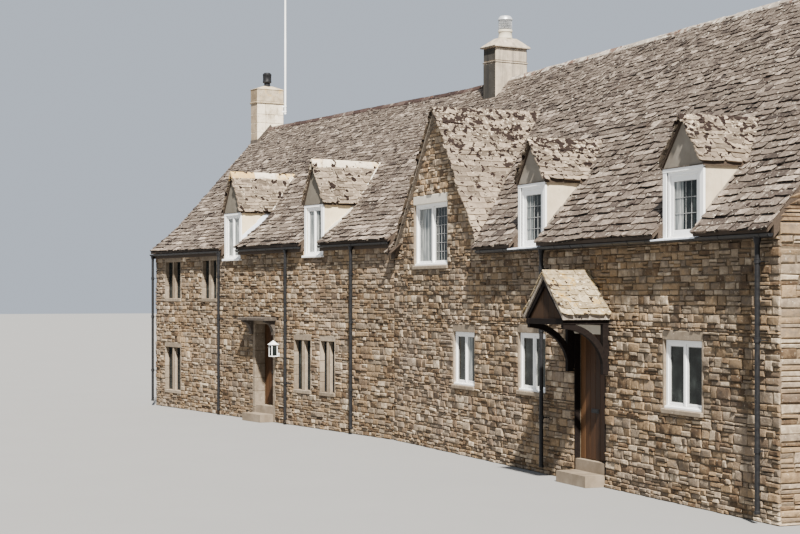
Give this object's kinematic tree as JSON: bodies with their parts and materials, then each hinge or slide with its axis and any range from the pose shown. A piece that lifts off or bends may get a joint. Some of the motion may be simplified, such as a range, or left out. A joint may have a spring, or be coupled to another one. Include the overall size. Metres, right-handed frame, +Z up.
{
  "type": "stone cottage range",
  "caption": "Range of two joined stone cottages with stone-slate roofs, gabled dormers, a central gable, two chimneys and two hinged front doors.",
  "frame": {"origin": "middle of the bounding box in plan, on the ground", "axes": "+X along the right range's front towards its party wall, -Y towards the road, +Z up"},
  "size_m": [26.3084, 8.6738, 11.3],
  "materials": {
    "rubble_stone": "coursed rubble, lime mortar",
    "dressed_stone": "sawn and weathered",
    "stone_slate": "riven, mossy and lichened",
    "lime_render": "trowelled render",
    "white_timber": "white gloss paint",
    "window_glass": "clear leaded lights",
    "door_timber": "stained boards",
    "dark_timber": "tarred oak",
    "floor_boards": "bare boards",
    "black_iron": "black gloss paint",
    "clay": "buff clay",
    "pale_metal": "white paint"
  },
  "bodies": {
    "root": {"aerial_mast": "pale_metal", "back_glass_left_ground": "window_glass", "back_glass_left_upper": "window_glass", "back_glass_right_ground": "window_glass", "back_glass_right_upper": "window_glass", "back_wall_left": "rubble_stone", "back_wall_right": "rubble_stone", "chimney_left": "dressed_stone", "chimney_middle": "dressed_stone", "chimney_pot_left": "black_iron", "chimney_pot_middle": "clay", "dormer_1_roof": "stone_slate", "dormer_1_walls": "lime_render", "dormer_1_window": "white_timber", "dormer_2_roof": "stone_slate", "dormer_2_walls": "lime_render", "dormer_2_window": "white_timber", "dormer_3_roof": "stone_slate", "dormer_3_walls": "lime_render", "dormer_3_window": "white_timber", "dormer_4_roof": "stone_slate", "dormer_4_walls": "lime_render", "dormer_4_window": "white_timber", "front_wall_gable": "rubble_stone", "front_wall_left_end": "rubble_stone", "front_wall_left_middle": "rubble_stone", "front_wall_left_over_door": "rubble_stone", "front_wall_right_end": "rubble_stone", "front_wall_right_over_door": "rubble_stone", "gable_roof": "stone_slate", "gable_window": "white_timber", "ground_floor_left": "dressed_stone", "ground_floor_right": "dressed_stone", "ground_glass_1": "window_glass", "ground_glass_2": "window_glass", "ground_glass_3": "window_glass", "ground_window_1": "white_timber", "ground_window_2": "white_timber", "ground_window_3": "white_timber", "gutter_left_1": "black_iron", "gutter_left_2": "black_iron", "gutter_left_3": "black_iron", "gutter_right": "black_iron", "left_door_hood": "dressed_stone", "left_gable_wall": "rubble_stone", "middle_party_wall": "rubble_stone", "porch_frame": "dark_timber", "porch_roof": "stone_slate", "right_party_wall": "rubble_stone", "roof_back_left": "stone_slate", "roof_back_right": "stone_slate", "roof_front_left": "stone_slate", "roof_front_right": "stone_slate", "upper_floor_left": "floor_boards", "upper_floor_right": "floor_boards", "upper_glass_1": "window_glass", "upper_glass_2": "window_glass", "wall_lantern": "pale_metal"},
    "left_door": {"left_door": "door_timber"},
    "right_door": {"right_door": "door_timber"}
  },
  "joints": [
    {"name": "left_door_hinge", "type": "hinge", "parent": "root", "child": "left_door", "pos_m": [-6.27858, -2.86857, 1.3], "axis": [0, 0, 1], "range_deg": [0, 90]},
    {"name": "right_door_hinge", "type": "hinge", "parent": "root", "child": "right_door", "pos_m": [7.70416, -1.98308, 1.3], "axis": [0, 0, 1], "range_deg": [0, 90]}
  ]
}
